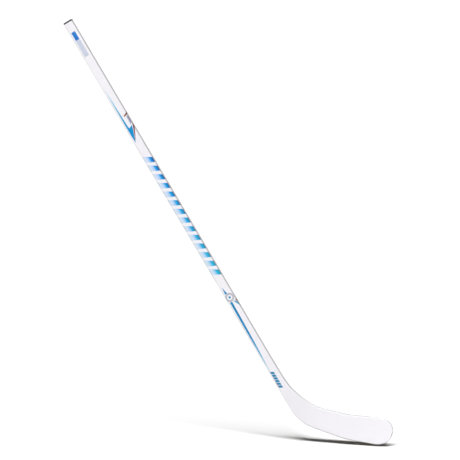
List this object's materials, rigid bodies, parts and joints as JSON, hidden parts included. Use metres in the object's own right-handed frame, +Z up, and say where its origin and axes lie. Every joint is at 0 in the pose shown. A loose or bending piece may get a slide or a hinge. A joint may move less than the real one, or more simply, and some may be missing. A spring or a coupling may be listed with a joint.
{
  "type": "ice hockey stick",
  "caption": "Left-handed composite ice hockey stick: hollow rectangular shaft with a black butt plug, curved blade with foam cores, white paint and blue slanted-bar graphics.",
  "frame": {"origin": "on the shaft's axis in the middle of the upper hand's grip, 150 mm below the butt and 1171 mm above the heel corner", "axes": "+Z up, +X towards the toe, -Y the way the forehand face looks; the shaft lies in the XZ plane and leans 31.2 degrees from upright, its butt towards -X"},
  "size_m": [0.9608, 0.026, 1.202],
  "materials": {
    "white_paint": "white paint under a clear coat, over a fibre laminate",
    "black_plastic": "moulded, fine texture",
    "carbon_laminate": "bare cured laminate, satin",
    "core_foam": "rigid closed-cell foam, matte",
    "fade_ink": "printed film fading from blue to pale lavender, under the clear coat",
    "blue_ink": "printed film under the clear coat",
    "deep_blue_ink": "printed film under the clear coat",
    "pale_ink": "printed film under the clear coat",
    "red_ink": "printed film under the clear coat",
    "grey_ink": "printed film under the clear coat"
  },
  "bodies": {
    "root": {"shaft_tube": "white_paint", "butt_plug": "black_plastic", "tenon_sleeve": "carbon_laminate", "tenon_core": "core_foam", "label_block_front": "deep_blue_ink", "label_panel_front": "pale_ink", "bar_01_front": "fade_ink", "bar_02_front": "fade_ink", "bar_03_front": "fade_ink", "bar_04_front": "fade_ink", "bar_05_front": "fade_ink", "bar_06_front": "fade_ink", "bar_07_front": "fade_ink", "bar_08_front": "fade_ink", "bar_09_front": "fade_ink", "bar_10_front": "fade_ink", "bar_11_front": "fade_ink", "bar_12_front": "fade_ink", "bar_13_front": "fade_ink", "bar_14_front": "fade_ink", "upper_stripe_front": "blue_ink", "lower_stripe_front": "blue_ink", "upper_accent_front": "red_ink", "lower_accent_front": "red_ink", "badge_tick_front": "blue_ink", "badge_accent_front": "red_ink", "badge_ring_front": "grey_ink", "badge_dot_front": "blue_ink", "heel_dash_1_front": "blue_ink", "heel_dash_2_front": "blue_ink", "heel_dash_3_front": "blue_ink", "heel_dash_4_front": "blue_ink", "heel_dash_5_front": "blue_ink", "heel_dash_6_front": "blue_ink", "bar_01_back": "fade_ink", "bar_02_back": "fade_ink", "bar_03_back": "fade_ink", "bar_04_back": "fade_ink", "bar_05_back": "fade_ink", "bar_06_back": "fade_ink", "bar_07_back": "fade_ink", "bar_08_back": "fade_ink", "bar_09_back": "fade_ink", "bar_10_back": "fade_ink", "bar_11_back": "fade_ink", "bar_12_back": "fade_ink", "bar_13_back": "fade_ink", "bar_14_back": "fade_ink", "upper_stripe_back": "blue_ink", "lower_stripe_back": "blue_ink", "badge_ring_back": "grey_ink", "badge_dot_back": "blue_ink", "blade_front_skin": "white_paint", "blade_back_skin": "white_paint", "hosel_core": "core_foam", "blade_core_upper": "core_foam", "blade_core_lower": "core_foam", "blade_rib": "carbon_laminate", "toe_filler": "core_foam"}
  },
  "joints": []
}
